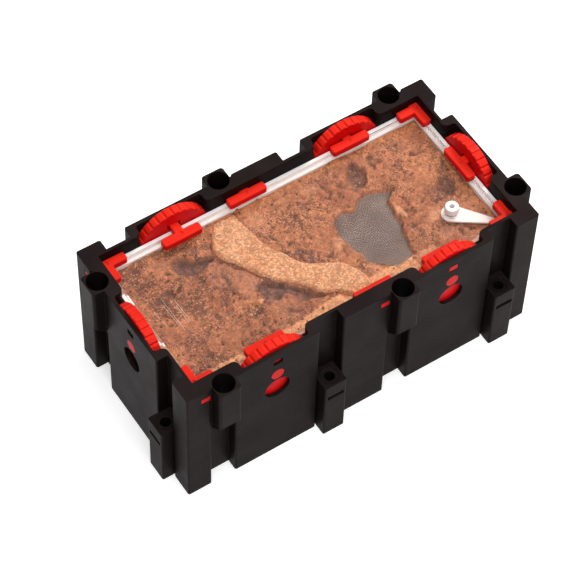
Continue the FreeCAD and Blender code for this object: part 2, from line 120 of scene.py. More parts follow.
# the sand path's two edges, from the back wall to the front wall
PATH_FAR_EDGE = (
    (-18.6, 37.6), (-18.8, 33.8), (-18.3, 29.1), (-17.5, 24.3), (-17.0, 20.0), (-16.3, 14.9), (-15.0, 10.6),
    (-12.9, 8.0), (-10.4, 4.6), (-9.6, 1.1), (-8.2, -1.8), (-5.6, -5.4), (-1.8, -8.3), (3.7, -11.2), (9.5, -13.9),
    (12.9, -19.6), (15.3, -25.3), (15.6, -33.4), (15.4, -36.8),
)
PATH_NEAR_EDGE = (
    (-31.0, 37.6), (-33.5, 34.3), (-36.2, 31.0), (-38.3, 27.2), (-39.4, 22.9), (-38.2, 17.7), (-35.6, 14.1),
    (-32.6, 11.1), (-31.3, 6.8), (-28.9, 2.9), (-25.6, -2.2), (-22.7, -6.5), (-19.7, -9.4), (-15.3, -12.6),
    (-11.8, -17.3), (-9.2, -21.9), (-6.4, -25.2), (-2.2, -26.3), (0.7, -28.1), (4.0, -33.0),
)
# hollows with a steep far side: depth, darkness (painted shadow below the steep side), outline
HOLLOWS = (
    (3.6, 1.0, (
        (-60.5, 29.3), (-58.3, 30.5), (-53.9, 28.6), (-51.6, 25.6), (-46.8, 24.6), (-41.5, 23.8), (-39.6, 22.0),
        (-43.0, 19.2), (-47.6, 18.2), (-50.7, 16.4), (-55.9, 17.0), (-61.2, 21.2), (-62.6, 25.2))),
    (2.8, 0.95, (
        (-31.5, -3.4), (-27.3, -2.6), (-23.6, -5.0), (-20.6, -9.0), (-16.6, -13.3), (-12.8, -17.6), (-9.0, -21.8),
        (-4.8, -25.0), (-8.2, -26.2), (-14.1, -24.4), (-17.7, -24.4), (-20.9, -21.3), (-21.8, -17.6), (-23.5, -15.8),
        (-27.6, -17.2), (-32.1, -15.6), (-34.2, -13.0), (-34.0, -9.1), (-33.4, -5.0))),
    (3.2, 0.85, (
        (40.0, 28.3), (44.0, 32.2), (48.6, 30.8), (50.6, 25.7), (47.7, 19.5), (44.5, 16.8), (39.8, 19.0),
        (38.5, 23.7))),
    (3.0, 0.75, (
        (75.0, 0.8), (80.0, 3.7), (83.0, 2.8), (84.3, -1.9), (82.2, -7.2), (79.0, -10.4), (75.4, -7.3), (74.0, -2.4))),
    (2.2, 0.9, ((-71.4, 18.2), (-67.6, 16.2), (-68.0, 11.4), (-71.1, 10.4), (-74.2, 13.5))),
)
# smooth, damp sheet of soil that ends in a lip
DAMP_SHEET = (
    (-43.1, 18.9), (-36.6, 12.4), (-33.3, 7.0), (-29.8, -0.3), (-31.5, -5.7), (-36.6, -7.9), (-40.7, -9.2),
    (-43.8, -1.4), (-48.6, 3.7), (-52.4, 9.0), (-50.5, 15.5),
)
# scratches on the lid: both ends
SCRATCHES = (
    (-83.7, 5.4, -82.6, -5.0), (-78.0, 7.1, -77.7, -6.6), (-76.9, 10.7, -76.6, -10.6), (-72.8, 3.3, -72.7, -7.8),
    (-71.9, 6.6, -71.6, -7.6),
)
SCRATCH_WIDTH = 0.0001
SCRATCH_HEIGHT = 0.00006
SCRATCH_RISE = 0.00002
# pits in the ground: centre x, y, half length, half width, turn in degrees, depth, darkness (painted shade in the pit)
PITS = (
    (-45.0, 20.5, 6.0, 2.6, -20.0, 0.8, 0.45),
    (-78.1, 12.7, 2.0, 1.4, 0.0, 0.9, 0.5),
    (-67.4, 5.0, 2.2, 1.3, 20.0, 0.9, 0.5),
    (-25.4, -24.4, 3.4, 1.5, -50.0, 1.2, 0.75),
    (-22.4, -27.0, 2.0, 1.3, -30.0, 1.0, 0.65),
    (-38.6, -17.0, 2.8, 1.4, -10.0, 1.4, 0.75),
    (-50.3, -2.6, 2.8, 2.2, 20.0, 0.8, 0.5),
    (-52.3, -9.6, 3.2, 2.0, 0.0, 0.7, 0.4),
    (-43.5, -11.0, 2.6, 1.6, 0.0, 0.8, 0.4),
    (-73.7, -25.1, 3.4, 1.9, 10.0, 0.9, 0.55),
    (-78.0, -22.0, 2.4, 1.6, 0.0, 0.6, 0.4),
    (-63.8, -24.0, 1.4, 1.9, 0.0, 1.0, 0.65),
    (-66.9, -16.1, 1.4, 2.2, 20.0, 0.7, 0.45),
    (-34.6, 9.2, 2.8, 1.2, -56.0, 0.9, 0.6),
    (40.5, 19.4, 2.2, 3.2, -20.0, 1.0, 0.5),
    (74.0, -4.5, 4.6, 5.4, 0.0, 1.0, 0.5),
    (12.0, 25.6, 3.2, 2.0, -20.0, 1.0, 0.5),
    (-3.0, 1.4, 5.6, 1.8, -50.0, 1.5, 0.8),
    (-1.2, -4.0, 2.8, 1.4, -40.0, 0.9, 0.6),
    (2.0, 7.6, 2.2, 1.5, -20.0, 1.0, 0.6),
    (-2.8, 6.0, 2.0, 1.2, -60.0, 0.9, 0.6),
    (-2.6, 15.4, 2.0, 1.4, -20.0, 0.9, 0.5),
    (14.0, 14.5, 3.4, 1.5, -30.0, 0.9, 0.45),
    (25.5, 10.8, 3.2, 1.5, 0.0, 1.2, 0.55),
    (52.0, -20.0, 1.6, 5.0, 12.0, 0.9, 0.5),
)
# rises in the ground: centre x, y, half length, half width, turn in degrees, height
RISES = (
    (-51.5, 30.2, 9.0, 3.8, -6.0, 1.9),
    (-36.2, -13.2, 3.0, 1.8, -10.0, 1.9),
    (-23.1, -18.6, 2.4, 2.6, -10.0, 1.2),
    (3.6, 3.6, 3.2, 3.2, -20.0, 1.1),
    (28.0, 33.0, 40.0, 5.0, 0.0, 1.2),
    (10.0, 22.0, 12.0, 7.0, -10.0, 0.9),
    (10.5, 29.0, 3.0, 2.4, 0.0, 0.9),
    (46.5, 33.0, 7.0, 2.4, 0.0, 0.7),
    (83.0, 1.5, 2.6, 5.0, 30.0, 0.7),
    (70.0, 20.0, 12.0, 12.0, 0.0, 1.0),
    (62.0, -26.0, 14.0, 8.0, 0.0, 0.8),
    (-75.0, -20.0, 8.0, 10.0, 0.0, 0.6),
    (-29.0, -27.0, 9.0, 3.4, -20.0, 0.8),
)
# smooth, damp places: centre x, y, half length, half width, turn in degrees, paleness
SMOOTH = (
    (-36.2, -13.2, 2.8, 1.6, -10.0, 0.75),
    (-11.0, 28.0, 7.0, 10.0, 0.0, 0.25),
    (14.5, -4.0, 3.0, 6.0, -30.0, 0.5),
    (22.0, -25.5, 6.0, 2.4, -30.0, 0.5),
    (51.8, -4.5, 1.8, 5.0, 10.0, 0.7),
    (65.0, -15.5, 6.0, 4.5, 0.0, 0.55),
    (63.0, -26.0, 5.0, 3.0, 0.0, 0.0),
    (48.0, -31.5, 7.0, 3.0, 0.0, 0.5),
    (20.0, 30.0, 6.0, 3.0, 0.0, 0.2),
    (-66.0, 31.0, 8.0, 4.0, 0.0, 0.1),
    (62.0, 8.0, 4.0, 3.0, 0.0, 0.2),
)

# ---- pieces and their finish, in metres ----
WIRE_PITCH = 0.00108
WIRE_RADIUS = 0.00023
LONG_WIRE_SHARE = 1.12
CROSS_WIRE_SHARE = 1.0
CRUMB_DENSITY = 260000.0
SMALLEST_CRUMB = 0.00012
LARGEST_CRUMB = 0.0008
CRUMB_SEED = 4
FULL_TURN = 6.28
PORT_HEIGHT = 0.0551
PASSAGE_RADIUS = 0.00685
# where the box's rim begins to be soiled and is fully soiled: at its left end and along its front
RIM_LEFT_END = (-0.0870, -0.0878)
RIM_FRONT = (-0.0370, -0.0378)
RIM_FRONT_END = (0.0735, 0.0715)
# clean gaps in the soiled left end: middle along y, and the half width that is soiled and clean
RIM_GAPS = ((0.0190, 0.0036, 0.0028), (-0.0108, 0.0014, 0.0008))
# where the lid's sawn edge begins to be dusty and is fully dusty: at its left end and along its front
LID_LEFT_END = (-0.0868, -0.0872)
LID_FRONT = (-0.0368, -0.0372)
# painted shade: the upper lip of the lid's edge beside the watering tube is painted dark, in place of the dark ring
# that refraction gives there
SHADED_LIP_HALF_LENGTH = (0.0100, 0.0090)
SHADED_LIP_DEPTH = (0.0010, 0.0007)

# ---- stage and lights ----
FLOOR_HALF = 6.0
FLOOR_GLOW = 0.5
WORLD_LIGHT = 0.34
AIM = (0, 0, 0.05)
# each light: name, place, size, power, colour
LIGHTS = (
    ("key", (0.79, 0.29, 1.0), 0.5, 9.6, (1.0, 0.985, 0.96)),
    ("top", (-0.16, -0.28, 1.25), 0.7, 4.6, (1.0, 1.0, 1.0)),
    ("front", (-0.2, -0.95, 0.95), 0.9, 6.6, (1.0, 1.0, 1.0)),
)


# ---- small helpers ----
def link(obj):
    bpy.context.scene.collection.objects.link(obj)
    return obj


def new_object(name, mesh, material=None):
    obj = link(bpy.data.objects.new(name, mesh))
    if material:
        set_material(obj, material)
    return obj


def smoothstep(low, high, value):
    t = min(1.0, max(0.0, (value - low) / (high - low)))
    return t * t * (3.0 - 2.0 * t)


def cloud(name, x, y):
    # signed cloud noise of about one in size
    scale, seed, *rest = CLOUDS[name]
    return noise.fractal(Vector((x / scale, y / scale, seed)), 0.9, 2.1, rest[0] if rest else 3)


def inside(x, y, outline):
    hit = False
    j = len(outline) - 1
    for i, (xi, yi) in enumerate(outline):
        xj, yj = outline[j]
        if (yi > y) != (yj > y) and x < (xj - xi) * (y - yi) / (yj - yi) + xi:
            hit = not hit
        j = i
    return hit


def edge_distance(x, y, outline, closed=True):
    best = 1e9
    count = len(outline)
    for i in range(count if closed else count - 1):
        ax, ay = outline[i]
        bx, by = outline[(i + 1) % count]
        dx, dy = bx - ax, by - ay
        t = max(0.0, min(1.0, ((x - ax) * dx + (y - ay) * dy) / (dx * dx + dy * dy)))
        best = min(best, math.hypot(x - ax - t * dx, y - ay - t * dy))
    return best


def signed_distance(x, y, outline):
    # negative inside the outline
    distance = edge_distance(x, y, outline)
    return -distance if inside(x, y, outline) else distance


def blob(x, y, cx, cy, half_long, half_wide, turn):
    # one at the middle, falling to nothing at the rim
    a = math.radians(turn)
    dx, dy = x - cx, y - cy
    u = (dx * math.cos(a) + dy * math.sin(a)) / half_long
    v = (-dx * math.sin(a) + dy * math.cos(a)) / half_wide
    return 1.0 - smoothstep(0.35, 1.15, math.hypot(u, v))


# ---- shader building ----
class Nodes:
    """Adds and joins the nodes of one tree."""

    def __init__(self, tree):
        self.tree = tree

    def add(self, kind, **settings):
        node = self.tree.nodes.new(kind)
        for key, value in settings.items():
            setattr(node, key, value)
        return node

    def join(self, source, target):
        self.tree.links.new(source, target)

    def feed(self, socket, value):
        if isinstance(value, bpy.types.NodeSocket):
            self.join(value, socket)
        else:
            socket.default_value = value

    def fill(self, node, **values):
        # feeds a node's inputs by their names
        for label, value in values.items():
            self.feed(node.inputs[label.replace("_", " ")], value)
        return node

    def math(self, operation, a, b=0.0, clamp=False):
        node = self.add("ShaderNodeMath", operation=operation, use_clamp=clamp)
        self.feed(node.inputs[0], a)
        self.feed(node.inputs[1], b)
        return node.outputs[0]

    def mix(self, factor, a, b, blend="MIX"):
        node = self.add("ShaderNodeMix", data_type="RGBA", blend_type=blend)
        self.feed(node.inputs["Factor"], factor)
        self.feed(node.inputs[6], a)
        self.feed(node.inputs[7], b)
        return node.outputs[2]

    def span(self, value, low, high, to_low=0.0, to_high=1.0):
        node = self.add("ShaderNodeMapRange", interpolation_type="SMOOTHSTEP")
        self.fill(node, Value=value, From_Min=low, From_Max=high, To_Min=to_low, To_Max=to_high)
        return node.outputs["Result"]

    def noise(self, place, scale, detail=3.0, rough=0.55):
        node = self.add("ShaderNodeTexNoise")
        return self.fill(node, Vector=place, Scale=scale, Detail=detail, Roughness=rough).outputs["Fac"]

    def cells(self, place, scale):
        return self.fill(self.add("ShaderNodeTexVoronoi"), Vector=place, Scale=scale)

    def place(self):
        return self.add("ShaderNodeTexCoord").outputs["Object"]

    def normal(self):
        return self.add("ShaderNodeNewGeometry").outputs["Normal"]

    def split(self, vector):
        node = self.add("ShaderNodeSeparateXYZ")
        self.join(vector, node.inputs[0])
        return node.outputs

    def vector(self, axis, value):
        node = self.add("ShaderNodeCombineXYZ")
        self.join(value, node.inputs[axis])
        return node.outputs[0]

    def product(self, *factors):
        result = factors[0]
        for factor in factors[1:]:
            result = self.math("MULTIPLY", result, factor)
        return result

    def apart(self, value, middle):
        # distance of a value from its middle, either way
        return self.math("ABSOLUTE", self.math("SUBTRACT", value, middle))

    def seen_by(self, *kinds):
        # one for the named kinds of ray, and otherwise nothing
        rays = self.add("ShaderNodeLightPath").outputs
        seen = rays["Is %s Ray" % kinds[0]]
        for kind in kinds[1:]:
            seen = self.math("MAXIMUM", seen, rays["Is %s Ray" % kind])
        return seen


def new_group(name, inputs, outputs):
    tree = bpy.data.node_groups.new(name, "ShaderNodeTree")
    for label, kind, value in inputs:
        socket = tree.interface.new_socket(name=label, in_out="INPUT", socket_type=kind)
        socket.default_value = value
    for label, kind in outputs:
        tree.interface.new_socket(name=label, in_out="OUTPUT", socket_type=kind)
    nodes = Nodes(tree)
    return tree, nodes, nodes.add("NodeGroupInput"), nodes.add("NodeGroupOutput")


FLOAT = "NodeSocketFloat"
COLOR = "NodeSocketColor"
VECTOR = "NodeSocketVector"


def moulded_group():
    # blotches, level layers, a fine grain, settled dust and painted top light for every plastic piece
    tree, n, inlet, outlet = new_group(
        "Moulded Finish And Top Light",
        [("Colour", COLOR, (0.5, 0.5, 0.5, 1)), ("Top Colour", COLOR, (0.6, 0.6, 0.6, 1)),
         ("Dust Colour", COLOR, (0.5, 0.4, 0.35, 1)), ("Dust", FLOAT, 0.2), ("Mottle", FLOAT, 0.15),
         ("Roughness", FLOAT, 0.45), ("Grain Scale", FLOAT, 2500.0), ("Layers", FLOAT, 0.0)],
        [("Colour", COLOR), ("Roughness", FLOAT), ("Height", FLOAT)])
    place = n.place()
    blotch = n.noise(place, 60.0, 4.0)
    grain = n.noise(place, inlet.outputs["Grain Scale"], 2.0)
    speck = n.span(n.cells(place, 900.0).outputs["Distance"], 0.16, 0.05)
    patch = n.span(n.noise(place, 35.0, 2.0), 0.45, 0.75)
    dust = n.math("MULTIPLY", n.product(speck, patch), inlet.outputs["Dust"], clamp=True)
    unevenness = n.math("SUBTRACT", blotch, 0.5)
    shade = n.math("ADD", 1.0, n.product(unevenness, inlet.outputs["Mottle"]))
    # the layers lie level, so their noise is drawn out sideways
    flat = n.add("ShaderNodeVectorMath", operation="MULTIPLY")
    n.join(place, flat.inputs[0])
    flat.inputs[1].default_value = (0.03, 0.03, 1.0)
    layers = n.math("SUBTRACT", n.noise(flat.outputs[0], 1100.0, 2.0), 0.5)
    streak = n.product(layers, inlet.outputs["Layers"])
    shade = n.math("ADD", shade, streak)
    # painted light: faces turned upward take the lighter top colour
    painted_top_light = n.span(n.split(n.normal())["Z"], 0.3, 0.95)
    base = n.mix(painted_top_light, inlet.outputs["Colour"], inlet.outputs["Top Colour"])
    toned = n.mix(1.0, base, shade, "MULTIPLY")
    n.join(n.mix(dust, toned, inlet.outputs["Dust Colour"]), outlet.inputs["Colour"])
    rough = n.math("ADD", inlet.outputs["Roughness"], n.product(unevenness, 0.25))
    rough = n.math("ADD", rough, n.product(dust, 0.3), True)
    n.join(rough, outlet.inputs["Roughness"])
    n.join(n.math("ADD", grain, streak), outlet.inputs["Height"])
    return tree


def edge_group():
    # rounded-looking edges, and a mask that is one where an edge is worn
    tree, n, inlet, outlet = new_group(
        "Soft Edges", [("Radius", FLOAT, 0.0004), ("Wear", FLOAT, 0.5)], [("Normal", VECTOR), ("Wear", FLOAT)])
    bevel = n.fill(n.add("ShaderNodeBevel", samples=6), Radius=inlet.outputs["Radius"])
    dot = n.add("ShaderNodeVectorMath", operation="DOT_PRODUCT")
    n.join(bevel.outputs["Normal"], dot.inputs[0])
    n.join(n.normal(), dot.inputs[1])
    turned = n.span(dot.outputs["Value"], 0.995, 0.85)
    scuff = n.span(n.noise(n.place(), 420.0, 3.0), 0.35, 0.65)
    worn = n.math("MULTIPLY", n.product(turned, scuff), inlet.outputs["Wear"], clamp=True)
    n.join(bevel.outputs["Normal"], outlet.inputs["Normal"])
    n.join(worn, outlet.inputs["Wear"])
    return tree


def grain_group():
    # loose mineral grains: a base colour broken up by dark, pale and coloured grains
    tree, n, inlet, outlet = new_group(
        "Mineral Grains",
        [("Colour", COLOR, (0.5, 0.2, 0.1, 1)), ("Dark Colour", COLOR, (0.1, 0.05, 0.04, 1)),
         ("Pale Colour", COLOR, (0.8, 0.6, 0.45, 1)), ("Dark Amount", FLOAT, 0.3), ("Pale Amount", FLOAT, 0.2),
         ("Grain Scale", FLOAT, 1500.0)],
        [("Colour", COLOR), ("Height", FLOAT)])
    place = n.place()
    scale = inlet.outputs["Grain Scale"]
    grains = n.cells(place, scale)
    split = n.add("ShaderNodeSeparateColor")
    n.join(grains.outputs["Color"], split.inputs["Color"])
    pick = split.outputs["Red"]
    dark_pick = n.math("GREATER_THAN", pick, n.math("SUBTRACT", 1.0, inlet.outputs["Dark Amount"]))
    pale_pick = n.math("LESS_THAN", pick, inlet.outputs["Pale Amount"])
    shade = n.span(split.outputs["Green"], 0.0, 1.0, 0.8, 1.2)
    clump = n.span(n.noise(place, n.product(scale, 0.22), 3.0), 0.3, 0.7, 0.8, 1.18)
    toned = n.mix(1.0, n.mix(1.0, inlet.outputs["Colour"], shade, "MULTIPLY"), clump, "MULTIPLY")
    darkened = n.mix(n.product(dark_pick, 0.75), toned, inlet.outputs["Dark Colour"])
    n.join(n.mix(n.product(pale_pick, 0.7), darkened, inlet.outputs["Pale Colour"]), outlet.inputs["Colour"])
    round_top = n.math("SUBTRACT", 1.0, grains.outputs["Distance"], True)
    fine = n.noise(place, n.product(scale, 2.0), 2.0)
    n.join(n.math("ADD", round_top, n.product(fine, 0.5)), outlet.inputs["Height"])
    return tree


GROUPS = {"moulded": moulded_group(), "edges": edge_group(), "grains": grain_group()}


class Material:
    """A material with one Principled shader, and helpers to fill it."""

    def __init__(self, name):
        self.material = bpy.data.materials.new(name)
        self.material.use_nodes = True
        self.n = Nodes(self.material.node_tree)
        self.shader = self.material.node_tree.nodes["Principled BSDF"]
        self.out = self.material.node_tree.nodes["Material Output"]

    def group(self, key, **values):
        return self.n.fill(self.n.add("ShaderNodeGroup", node_tree=GROUPS[key]), **values)

    def set(self, **values):
        self.n.fill(self.shader, **values)

    def bump(self, height, distance, strength, normal=None):
        bump = self.n.fill(self.n.add("ShaderNodeBump"), Height=height, Distance=distance, Strength=strength)
        if normal is not None:
            self.n.join(normal, bump.inputs["Normal"])
        self.set(Normal=bump.outputs["Normal"])


SPECULAR_TINT = (1.0, 0.72, 0.72, 1)
# top is painted light: the lighter colour given to faces turned upward
BLACK = dict(
    colour=(0.0075, 0.0044, 0.0044, 1), top=(0.016, 0.0112, 0.0105, 1), edge=(0.035, 0.03, 0.029, 1),
    dust_tone=(0.16, 0.12, 0.10, 1), dust=0.3, mottle=0.5, roughness=0.5, specular=0.055, grain=2200.0,
    depth=0.00005, wear=0.55, radius=0.0005, layers=1.6)
RED = dict(
    colour=(0.62, 0.002, 0.003, 1), top=(0.80, 0.022, 0.010, 1), edge=(0.88, 0.07, 0.035, 1),
    dust_tone=(0.75, 0.25, 0.18, 1), dust=0.2, mottle=0.2, roughness=0.45, specular=0.12, grain=1800.0,
    depth=0.00004, wear=0.5, radius=0.0005)
WHITE = dict(
    colour=(0.92, 0.86, 0.85, 1), top=(0.99, 0.95, 0.94, 1), edge=(0.9, 0.86, 0.84, 1),
    dust_tone=(0.55, 0.35, 0.25, 1), dust=0.2, mottle=0.05, roughness=0.38, specular=0.5, grain=1500.0,
    depth=0.00003, wear=0.3, radius=0.0004)
FROSTED = dict(
    colour=(0.84, 0.77, 0.74, 1), top=(0.92, 0.86, 0.835, 1), edge=(0.85, 0.78, 0.74, 1),
    dust_tone=(0.6, 0.35, 0.22, 1), dust=0.3, mottle=0.18, roughness=0.45, specular=0.5, grain=1500.0,
    depth=0.00003, wear=0.3, radius=0.0004)


def plastic(name, colour, top, edge, dust_tone, dust, mottle, roughness, specular, grain, depth, wear, radius,
            layers=0.0):
    m = Material(name)
    # the top colour is painted light on faces turned upward
    finish = m.group("moulded", Colour=colour, Top_Colour=top, Dust_Colour=dust_tone, Dust=dust, Mottle=mottle,
                     Roughness=roughness, Grain_Scale=grain, Layers=layers)
    edges = m.group("edges", Radius=radius, Wear=wear)
    m.set(Base_Color=m.n.mix(edges.outputs["Wear"], finish.outputs["Colour"], edge),
          Roughness=finish.outputs["Roughness"], Specular_IOR_Level=specular, Specular_Tint=SPECULAR_TINT)
    m.bump(finish.outputs["Height"], depth, 0.6, edges.outputs["Normal"])
    return m


def lay_stain_or_shade(m, mask, tone):
    # lays a tone over the plastic's own colour: a soil stain on the box, painted shade in the dial's passage
    clean = m.shader.inputs["Base Color"].links[0].from_socket
    m.set(Base_Color=m.n.mix(mask, clean, tone))
    return m.material


def shaded_passage_dial_plastic():
    # the open dial: the hole through it is painted dark, as shade inside the passage
    m = plastic("red plastic", **RED)
    axes = m.n.split(m.n.place())
    across = m.n.math("SUBTRACT", axes["Z"], PORT_HEIGHT)
    squares = m.n.math("ADD", m.n.math("POWER", axes["Y"], 2.0), m.n.math("POWER", across, 2.0))
    # painted shade inside the hole through the dial
    passage_shade = m.n.span(m.n.math("SQRT", squares), PASSAGE_RADIUS + 0.0016, PASSAGE_RADIUS + 0.0010)
    return lay_stain_or_shade(m, passage_shade, (0.012, 0.003, 0.002, 1))


def box_plastic():
    # the white box: bare along most of the rim, soiled at its left end and along its front
    m = plastic("white box plastic", **WHITE)
    place = m.n.place()
    axes = m.n.split(place)
    bare = m.n.math("MAXIMUM", *(m.n.span(m.n.apart(axes["Y"], middle), far, near) for middle, far, near in RIM_GAPS))
    left = m.n.product(m.n.span(axes["X"], *RIM_LEFT_END), m.n.math("SUBTRACT", 1.0, bare, True))
    front = m.n.product(m.n.span(axes["Y"], *RIM_FRONT), m.n.span(axes["X"], *RIM_FRONT_END))
    damp = m.n.span(m.n.noise(place, 900.0, 3.0), 0.35, 0.65)
    soil_tone = m.n.mix(damp, (0.34, 0.15, 0.085, 1), (0.55, 0.27, 0.15, 1))
    return lay_stain_or_shade(m, m.n.product(m.n.math("MAXIMUM", left, front), 0.9), soil_tone)


def soil_material():
    m = Material("red clay soil")
    masks = []
    for layer in ("Stain", "Finish"):
        split = m.n.add("ShaderNodeSeparateColor")
        m.n.join(m.n.add("ShaderNodeVertexColor", layer_name=layer).outputs["Color"], split.inputs["Color"])
        masks += [split.outputs[key] for key in ("Red", "Green", "Blue")]
    painted_shade, pale, crevice_shade, smooth, rusty, coarse = masks
    place = m.n.place()
    patch = m.n.span(m.n.noise(place, 48.0, 4.0, 0.6), 0.36, 0.66)
    colour = m.n.mix(patch, (0.3969, 0.1418, 0.06951, 1), (0.5513, 0.2163, 0.1038, 1))
    pinkish = m.n.span(m.n.noise(place, 26.0, 2.0), 0.5, 0.68)
    for mask, tone in (
            (m.n.product(pinkish, 0.5), (0.3969, 0.1648, 0.1061, 1)),
            (m.n.product(smooth, 0.6), (0.4064, 0.1491, 0.07676, 1)),
            (pale, (0.7949, 0.3612, 0.1764, 1)),
            (m.n.product(rusty, 0.8), (0.525, 0.1943, 0.0756, 1)),
            # painted shade in the crevices between clods
            (crevice_shade, (0.15, 0.06, 0.037, 1)),
            # painted shade in hollows, pits and along the path's near edge
            (painted_shade, (0.125, 0.0654, 0.055, 1))):
        colour = m.n.mix(mask, colour, tone)
    rough_ground = m.n.span(m.n.noise(place, 70.0, 3.0), 0.40, 0.64)
    loose = m.n.math("SUBTRACT", 1.0, m.n.product(m.n.math("MAXIMUM", pale, smooth), 0.85), True)
    loose = m.n.product(rough_ground, loose)
    grains = m.group("grains", Colour=colour, Dark_Colour=(0.12, 0.052, 0.036, 1), Pale_Colour=(0.68, 0.34, 0.21, 1),
                     Dark_Amount=m.n.product(loose, coarse, 0.74), Pale_Amount=m.n.product(loose, 0.05),
                     Grain_Scale=1500.0)
    m.set(Base_Color=grains.outputs["Colour"], Roughness=m.n.span(smooth, 0.0, 1.0, 0.92, 0.7))
    m.bump(grains.outputs["Height"], 0.0002, 0.7)
    return m.material


def sand_material():
    m = Material("pale river sand")
    place = m.n.place()
    patch = m.n.span(m.n.noise(place, 70.0, 3.0), 0.35, 0.7)
    colour = m.n.mix(patch, (0.65, 0.285, 0.135, 1), (0.745, 0.365, 0.19, 1))
    grains = m.group("grains", Colour=colour, Dark_Colour=(0.50, 0.20, 0.09, 1), Pale_Colour=(0.92, 0.57, 0.35, 1),
                     Dark_Amount=0.20, Pale_Amount=0.16, Grain_Scale=1400.0)
    m.set(Base_Color=grains.outputs["Colour"], Roughness=0.85)
    m.bump(grains.outputs["Height"], 0.00008, 0.5)
    return m.material


def crumb_material():
    m = Material("soil crumbs")
    place = m.n.place()
    tone = m.n.span(m.n.noise(place, 260.0, 2.0), 0.35, 0.65)
    colour = m.n.mix(tone, (0.15, 0.056, 0.03, 1), (0.45, 0.182, 0.092, 1))
    grains = m.group("grains", Colour=colour, Dark_Colour=(0.10, 0.045, 0.03, 1), Pale_Colour=(0.66, 0.38, 0.26, 1),
                     Dark_Amount=0.16, Pale_Amount=0.03, Grain_Scale=1500.0)
    m.set(Base_Color=grains.outputs["Colour"], Roughness=0.9)
    m.bump(grains.outputs["Height"], 0.0002, 0.6)
    return m.material


def steel_mesh_material():
    m = Material("woven steel")
    place = m.n.place()
    tone = m.n.span(m.n.noise(place, 90.0, 3.0), 0.3, 0.7)
    colour = m.n.mix(tone, (0.215, 0.178, 0.165, 1), (0.33, 0.278, 0.258, 1))
    # painted light: the wires that run along y are painted brighter than those that cross them
    low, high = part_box("mesh_sheet")
    spread = high.x - low.x - 2 * WIRE_RADIUS
    step = spread / round(spread / WIRE_PITCH)
    from_first = m.n.math("SUBTRACT", m.n.split(place)["X"], low.x + WIRE_RADIUS)
    painted_wire_sheen = m.n.math("COSINE", m.n.product(from_first, 2.0 * math.pi / step))
    colour = m.n.mix(1.0, colour, m.n.math("ADD", 1.0, m.n.product(painted_wire_sheen, 0.22)), "MULTIPLY")
    m.set(Base_Color=colour, Roughness=m.n.span(tone, 0.0, 1.0, 0.38, 0.52), Metallic=0.85)
    return m.material


def lid_material():
    m = Material("clear lid")
    place = m.n.place()
    haze = m.n.span(m.n.noise(place, 45.0, 4.0), 0.4, 0.8, 0.01, 0.05)
    # the sawn edges are frosted and rougher than the faces; their darker tint is painted shade
    face = m.n.span(m.n.math("ABSOLUTE", m.n.split(m.n.normal())["Z"]), 0.4, 0.8)
    axes = m.n.split(place)
    dusty = m.n.math("MAXIMUM", m.n.span(axes["X"], *LID_LEFT_END), m.n.span(axes["Y"], *LID_FRONT))
    edge = m.n.mix(dusty, (0.80, 0.76, 0.74, 1), (0.36, 0.17, 0.095, 1))
    low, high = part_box("water_tube")
    beside = m.n.span(m.n.apart(axes["X"], (low.x + high.x) / 2), *SHADED_LIP_HALF_LENGTH)
    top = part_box("lid_panel")[1].z
    lip_shade = m.n.span(axes["Z"], *(top - depth for depth in SHADED_LIP_DEPTH))
    # painted shade on the lip beside the watering tube
    edge = m.n.mix(m.n.product(beside, lip_shade), edge, (0.06, 0.05, 0.045, 1))
    m.set(Base_Color=m.n.mix(face, edge, (1.0, 0.985, 0.97, 1)),
          Roughness=m.n.math("ADD", haze, m.n.span(face, 0.0, 1.0, 0.4, 0.0)),
          Transmission_Weight=1.0, IOR=1.1, Coat_Roughness=0.05, Coat_Weight=0.2)
    # light passes straight through to what lies below
    clear = m.n.fill(m.n.add("ShaderNodeBsdfTransparent"), Color=(0.96, 0.95, 0.94, 1))
    mixer = m.n.add("ShaderNodeMixShader")
    m.n.join(m.n.seen_by("Shadow", "Diffuse"), mixer.inputs[0])
    m.n.join(m.shader.outputs[0], mixer.inputs[1])
    m.n.join(clear.outputs[0], mixer.inputs[2])
    m.n.join(mixer.outputs[0], m.out.inputs["Surface"])
    return m.material


MATERIALS = {
    "black": plastic("black matt plastic", **BLACK).material,
    "red": plastic("red plastic", **RED).material,
    "open_dial": shaded_passage_dial_plastic(),
    "white": plastic("white plastic", **WHITE).material,
    "box": box_plastic(),
    "channel": plastic("frosted white plastic", **FROSTED).material,
    "soil": soil_material(),
    "sand": sand_material(),
    "crumbs": crumb_material(),
    "steel": steel_mesh_material(),
    "lid": lid_material(),
}


def set_material(obj, material):
    obj.data.materials.clear()
    obj.data.materials.append(MATERIALS[material])


# ---- ground ----
PATH_OUTLINE = PATH_FAR_EDGE + tuple(reversed(PATH_NEAR_EDGE))


